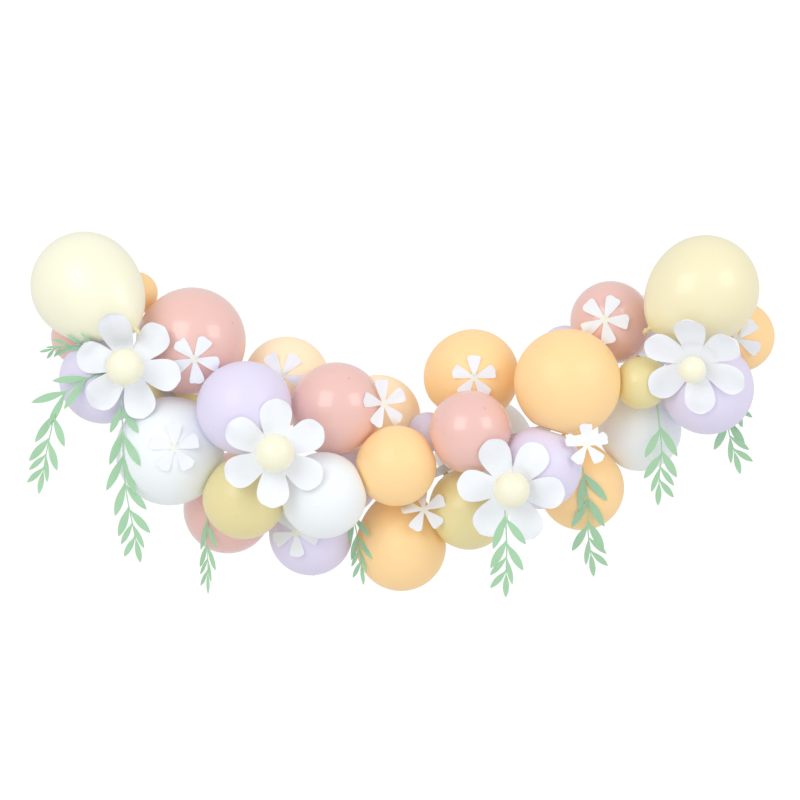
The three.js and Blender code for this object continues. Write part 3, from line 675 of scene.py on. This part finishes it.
def draw_flower(petals, rows, steps_out, steps_across, bend, cup, hub, reach, wave):
    """A flower drawn flat, facing +Z: its first petal along +X, then one more for each turn about Z."""
    sheet = bmesh.new()
    from_middle = sheet.verts.layers.float.new("from_middle")
    for petal in range(petals):

        def petal_spot(step, line):
            along, half, rounding = smooth_row(rows, step / steps_out)
            side = 2 * line / steps_across - 1
            out = along + rounding * (1 - side**2)
            share = max(0.0, (out * 0.001 - hub) / (reach - hub))
            out += wave(petal, side * half) * share**2
            lift = bend(petal) * share**2 + cup(petal) * share * side**2
            return Vector((out * 0.001, side * half * 0.001, lift * 0.001))

        before = set(sheet.verts)
        stretch_net(sheet, steps_out, steps_across, petal_spot)
        added = [corner for corner in sheet.verts if corner not in before]
        for corner in added:
            corner[from_middle] = corner.co.xy.length
        turn = Matrix.Rotation(2 * math.pi * petal / petals, 3, "Z")
        bmesh.ops.rotate(sheet, verts=added, cent=(0, 0, 0), matrix=turn)
    bmesh.ops.remove_doubles(sheet, verts=sheet.verts, dist=5e-5)
    return sheet


def face_way(sheet, across, up, facing, turn, size=1):
    """Turns a flower to face a direction and puts its middle at its place across and up."""
    ahead = Vector(facing).normalized()
    aside = (Vector((1, 0, 0)) - ahead * ahead.x).normalized()
    basis = Matrix((aside, ahead.cross(aside), ahead)).transposed()
    basis = basis @ Matrix.Rotation(math.radians(turn), 3, "Z") * size
    move = GARLAND_MIDDLE + Vector((across, 0, up)) * 0.001
    bmesh.ops.transform(sheet, matrix=Matrix.Translation(move) @ basis.to_4x4(), verts=sheet.verts)


def drop_hidden(sheet, depth):
    """Takes off the part of a card that would lie deep inside a balloon in front of it."""
    lost = []
    for face in sheet.faces:
        spot = face.calc_center_median()
        for balloon in balloons.values():
            if (spot - balloon["middle"]).length < balloon["radius"] - depth:
                lost.append(face)
                break
    bmesh.ops.delete(sheet, geom=lost, context="FACES")


random.seed(11)
for name, (across, up, facing, turn, size) in BLOSSOMS.items():
    phase = [random.uniform(-1.2, 1.2) for _ in range(5)]
    sheet = draw_flower(
        5, BLOSSOM_ROWS, 26, 10,
        bend=lambda petal: 3 + 3 * math.sin(petal * 1.9),
        cup=lambda petal: 2,
        hub=0.010,
        reach=BLOSSOM_REACH,
        wave=lambda petal, aside: 1.1 * math.sin(0.24 * aside + phase[petal]),
    )
    face_way(sheet, across, up, facing, turn, size)
    lay_on(sheet, "blossom_" + name, 8)
    drop_hidden(sheet, 0.003)
    thicken(sheet, CARD)
    piece = make_object("blossom_" + name + "_card", sheet, blossom_card)
    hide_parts("blossom_" + name)

# ---------------------------------------------------------------- the daisies

# Large six-petalled daisies, die-cut from one sheet of white card, with the petals curled by hand.
# A small ivory balloon is tied through the middle of each and sits on the card as its heart.

DAISY_ROWS = [
    (0.0, 0.0, 0.0), (48.5, 28.0, 7.5), (60, 31.5, 6.0), (74, 36.5, 5.0), (90, 40.0, 4.0), (103, 40.5, 3.5),
    (113, 38.2, 3.5), (121, 33.6, 4.0), (127.4, 26.8, 4.4), (132.4, 18.0, 3.6), (135.8, 8.6, 1.6),
    (137.5, 0.0, 0.0),
]
DAISY_HUB = 0.056
DAISY_REACH = 0.138

DAISIES = {
    "left": (-689, 268, (-0.1, -1, -0.05), 47),
    "middle": (-316, 47, (0.05, -1, 0.05), 28),
    "lower": (281, -44, (0, -1, 0), 55),
    "right": (749, 276, (-0.3, -1, -0.6), 40),
}

daisy_card = card_material("daisy_card", (238, 241, 247), (231, 235, 244))

for name, (across, up, facing, turn) in DAISIES.items():
    sheet = draw_flower(
        6, DAISY_ROWS, 30, 12,
        bend=lambda petal: 14 + 9 * math.sin(petal * 2.4),
        cup=lambda petal: 7 + 4 * math.cos(petal * 1.7),
        hub=DAISY_HUB,
        reach=DAISY_REACH,
        wave=lambda petal, aside: 0.0,
    )
    face_way(sheet, across, up, facing, turn)
    lay_on(sheet, "daisy_" + name, 14)
    thicken(sheet, CARD)
    piece = make_object("daisy_" + name + "_card", sheet, daisy_card)
    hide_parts("daisy_" + name)

    points = corners_of("balloon_heart_" + name)
    middle = points.mean(axis=0)
    heart = bmesh.new()
    bmesh.ops.create_uvsphere(
        heart, u_segments=48, v_segments=32, radius=np.linalg.norm(points - middle, axis=1).max(),
        matrix=Matrix.Translation(middle),
    )
    # A heart shows neither crown nor lip, so its skin is an even colour.
    for layer in ("from_crown", "to_lip"):
        clear_of = heart.verts.layers.float.new(layer)
        for corner in heart.verts:
            corner[clear_of] = 1.0
    for face in heart.faces:
        face.smooth = True
    piece = make_object("heart_" + name, heart, latex["ivory"])
    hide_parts("balloon_heart_" + name)

# ---------------------------------------------------------------- the floor, the light and the camera

# A pale floor well below the garland, two soft boxes in front of it to the left and right, and a white room.

box_middle = (cad_low + cad_high) / 2

floor_paint, place = new_material("floor_paint")
finish_material(
    place,
    {
        "Base Color": blend_colours(
            place, grain(place, 3), shade_of(238, 238, 238), shade_of(242, 242, 242)
        ),
        "Roughness": 0.8,
    },
)
floor_shape = bmesh.new()
bmesh.ops.create_grid(floor_shape, x_segments=4, y_segments=4, size=2.2)
bmesh.ops.translate(floor_shape, verts=floor_shape.verts, vec=(box_middle.x, 0, cad_low.z - 0.8))
floor_mesh = bpy.data.meshes.new("floor")
floor_shape.to_mesh(floor_mesh)
floor_shape.free()
floor_mesh.materials.append(floor_paint)
floor = bpy.data.objects.new("floor", floor_mesh)
bpy.context.scene.collection.objects.link(floor)

SOFT_BOXES = [
    # name, way from the garland, distance, width, height, power
    ("soft_box_left", (-0.456, -0.805, 0.38), 5.0, 2.9, 3.2, 74),
    ("soft_box_right", (0.70, -0.62, 0.36), 5.0, 2.4, 2.4, 46),
]
for name, way, distance, width, height, power in SOFT_BOXES:
    lamp = bpy.data.lights.new(name, "AREA")
    lamp.shape = "RECTANGLE"
    lamp.size, lamp.size_y = width, height
    lamp.energy = power
    box = bpy.data.objects.new(name, lamp)
    bpy.context.scene.collection.objects.link(box)
    way = Vector(way).normalized()
    box.location = box_middle + way * distance
    box.rotation_euler = way.to_track_quat("Z", "Y").to_euler()

world = bpy.data.worlds.new("white_room")
world.use_nodes = True
world.node_tree.nodes.clear()
path = world.node_tree.nodes.new("ShaderNodeLightPath")
seen = Finish(path.outputs["Is Camera Ray"])
glow = {"Color": (1, 1, 1, 1), "Strength": 0.78 + 0.27 * seen}
background = seen.node("ShaderNodeBackground", {}, glow)
background.node("ShaderNodeOutputWorld", {}, {"Surface": background})
bpy.context.scene.world = world
bpy.context.scene.view_settings.view_transform = "Standard"

lens = bpy.data.cameras.new("camera")
lens.sensor_width = 36
lens.lens = 155.8
camera = bpy.data.objects.new("camera", lens)
bpy.context.scene.collection.objects.link(camera)
camera.location = (0.8327, -9.0005, -0.3375)
camera.rotation_euler = (math.pi / 2, 0, 0)
bpy.context.scene.camera = camera
